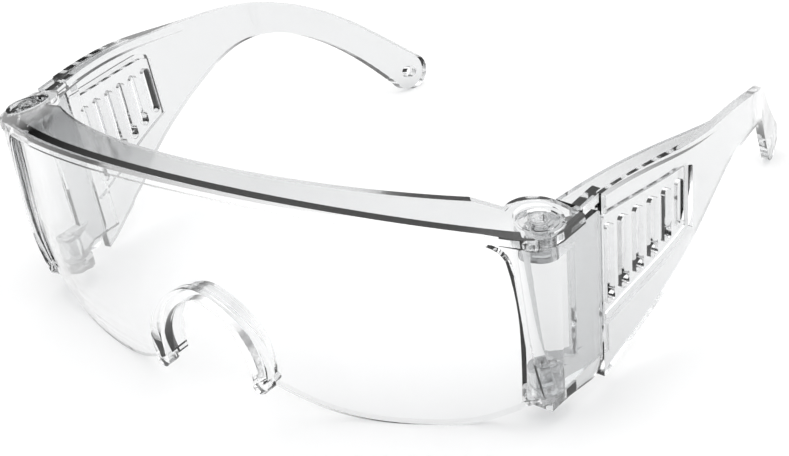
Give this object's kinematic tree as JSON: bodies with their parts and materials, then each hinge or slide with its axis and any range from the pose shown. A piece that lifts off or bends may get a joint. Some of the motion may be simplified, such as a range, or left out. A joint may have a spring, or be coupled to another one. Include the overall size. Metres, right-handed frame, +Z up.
{
  "type": "safety spectacles",
  "caption": "Clear wraparound safety spectacles with a brow ledge, side returns and two folding, vented temples.",
  "frame": {"origin": "bottom centre of the bounding box of the open spectacles", "axes": "+X towards the wearer's left, +Y rearward towards the ears, +Z up; the open spectacles stand on the lens edge and the temple tips"},
  "size_m": [0.1612, 0.1516, 0.0575],
  "materials": {
    "lens_clear": "gloss",
    "temple_clear": "gloss",
    "pin_clear": "gloss"
  },
  "bodies": {
    "front": {"front_shield": "lens_clear", "hinge_pin_upper_left": "pin_clear", "hinge_pin_upper_right": "pin_clear", "hinge_pin_lower_left": "pin_clear", "hinge_pin_lower_right": "pin_clear"},
    "left_temple": {"temple_left": "temple_clear"},
    "right_temple": {"temple_right": "temple_clear"}
  },
  "joints": [
    {"name": "left_temple_fold", "type": "hinge", "parent": "front", "child": "left_temple", "pos_m": [0.068, -0.046, 0.0045], "axis": [0.1045, 0, 0.9945], "range_deg": [0, 86.5]},
    {"name": "right_temple_fold", "type": "hinge", "parent": "front", "child": "right_temple", "pos_m": [-0.068, -0.046, 0.0045], "axis": [0.1045, 0, -0.9945], "range_deg": [0, 76]}
  ]
}
